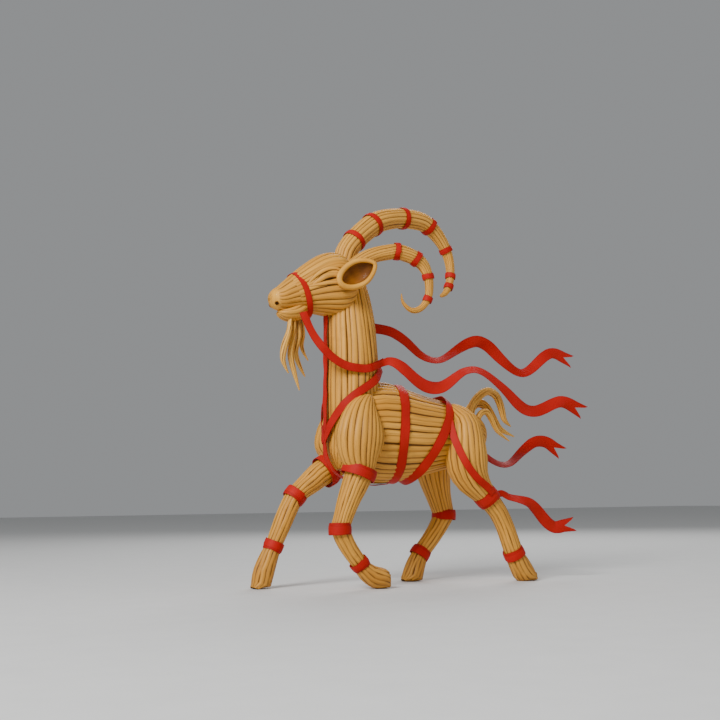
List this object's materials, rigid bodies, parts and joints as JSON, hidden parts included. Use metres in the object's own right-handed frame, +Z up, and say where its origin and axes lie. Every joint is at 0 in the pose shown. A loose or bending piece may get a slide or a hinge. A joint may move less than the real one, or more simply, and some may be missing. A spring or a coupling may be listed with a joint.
{
  "type": "straw goat",
  "caption": "Trotting straw goat of bound straw bundles with curled horns, beard, tail, red ribbon harness and loose swallow-tailed streamers.",
  "frame": {"origin": "floor under the middle of the goat's bounding box", "axes": "-X is the way the goat faces, -Y is its left side, +Z is up"},
  "size_m": [0.3535, 0.0966, 0.3525],
  "materials": {
    "straw": "dry rye straw, satin along the stalk, dark between stalks",
    "husk": "smooth rolled straw husk, dark brown inside",
    "loose_straw": "loose wavy split straw",
    "ribbon": "woven red ribbon, soft satin, darker at the edges",
    "wire": "drawn steel wire"
  },
  "bodies": {
    "goat": {"beard": "loose_straw", "breast_strap_left": "ribbon", "breast_strap_right": "ribbon", "chest_strap": "ribbon", "ear_left": "husk", "ear_right": "husk", "elbow_tie_left": "ribbon", "elbow_tie_right": "ribbon", "fore_cannon_left": "straw", "fore_cannon_right": "straw", "fore_fetlock_tie_left": "ribbon", "fore_fetlock_tie_right": "ribbon", "fore_hoof_left": "straw", "fore_hoof_right": "straw", "fore_wire_left": "wire", "fore_wire_right": "wire", "forearm_left": "straw", "forearm_right": "straw", "girth_front": "ribbon", "girth_rear": "ribbon", "haunch_left": "straw", "haunch_right": "straw", "haunch_strap_left": "ribbon", "haunch_strap_right": "ribbon", "head": "straw", "hind_cannon_left": "straw", "hind_cannon_right": "straw", "hind_fetlock_tie_left": "ribbon", "hind_fetlock_tie_right": "ribbon", "hind_hoof_left": "straw", "hind_hoof_right": "straw", "hind_wire_left": "wire", "hind_wire_right": "wire", "hock_tie_left": "ribbon", "hock_tie_right": "ribbon", "horn_left": "straw", "horn_right": "straw", "horn_ties_left": "ribbon", "horn_ties_right": "ribbon", "horn_wire_left": "wire", "horn_wire_right": "wire", "knee_tie_left": "ribbon", "knee_tie_right": "ribbon", "lower_jaw": "straw", "neck": "straw", "noseband": "ribbon", "rein_left": "ribbon", "rein_right": "ribbon", "shoulder_left": "straw", "shoulder_right": "straw", "spine_wire": "wire", "tail": "loose_straw", "throat_strap": "ribbon", "trunk": "straw"},
    "streamer_neck_left": {"streamer_neck_left": "ribbon"},
    "streamer_neck_right": {"streamer_neck_right": "ribbon"},
    "streamer_haunch_right": {"streamer_haunch_right": "ribbon"},
    "streamer_hock_left": {"streamer_hock_left": "ribbon"}
  },
  "joints": [
    {"name": "streamer_neck_left_swing", "type": "hinge", "parent": "goat", "child": "streamer_neck_left", "pos_m": [-0.0725, -0.0215, 0.1965], "axis": [0, 0, 1], "range_deg": [-25, 5]},
    {"name": "streamer_neck_right_swing", "type": "hinge", "parent": "goat", "child": "streamer_neck_right", "pos_m": [-0.0775, 0.0205, 0.236], "axis": [0, 0, 1], "range_deg": [-20, 25]},
    {"name": "streamer_haunch_right_swing", "type": "hinge", "parent": "goat", "child": "streamer_haunch_right", "pos_m": [0.0265, 0.034, 0.122], "axis": [0, 0, 1], "range_deg": [-20, 25]},
    {"name": "streamer_hock_left_swing", "type": "hinge", "parent": "goat", "child": "streamer_hock_left", "pos_m": [0.0425, -0.03, 0.081], "axis": [0, 0, 1], "range_deg": [-20, 20]}
  ]
}
